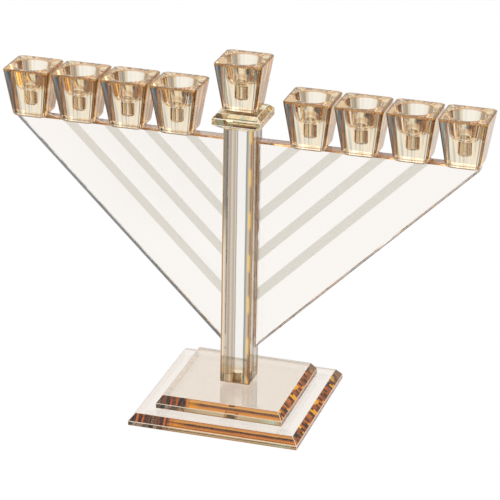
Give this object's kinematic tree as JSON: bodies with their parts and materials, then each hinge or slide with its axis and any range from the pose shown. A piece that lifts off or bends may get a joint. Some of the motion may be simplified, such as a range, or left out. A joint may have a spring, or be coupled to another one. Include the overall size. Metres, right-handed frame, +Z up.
{
  "type": "menorah",
  "caption": "Glass Hanukkah menorah: candle cups on triangular side panels, a raised centre cup on a square column and a stepped bevelled base.",
  "frame": {"origin": "on the resting surface, under the middle of the square base", "axes": "+Z up, +X along the row of cups to the right as seen from the front, +Y to the back"},
  "size_m": [0.3364, 0.12, 0.252],
  "materials": {
    "bumper": "clear soft silicone",
    "base_glass": "polished clear crystal with a pale champagne tint",
    "dowel_glass": "clear glass rod",
    "column_glass": "polished clear crystal",
    "amber_glass": "polished crystal with an amber tint",
    "panel_glass": "polished clear crystal with frosted stripes",
    "cup_glass": "pressed glass with a light amber tint"
  },
  "bodies": {
    "root": {"bumper_feet": "bumper", "lower_base_plate": "base_glass", "upper_base_plate": "base_glass", "locating_dowel": "dowel_glass", "column": "column_glass", "collar_plate": "amber_glass", "left_panel": "panel_glass", "right_panel": "panel_glass", "cup_1": "cup_glass", "cup_2": "cup_glass", "cup_3": "cup_glass", "cup_4": "cup_glass", "cup_5": "cup_glass", "cup_6": "cup_glass", "cup_7": "cup_glass", "cup_8": "cup_glass", "shamash_cup": "cup_glass"}
  },
  "joints": []
}
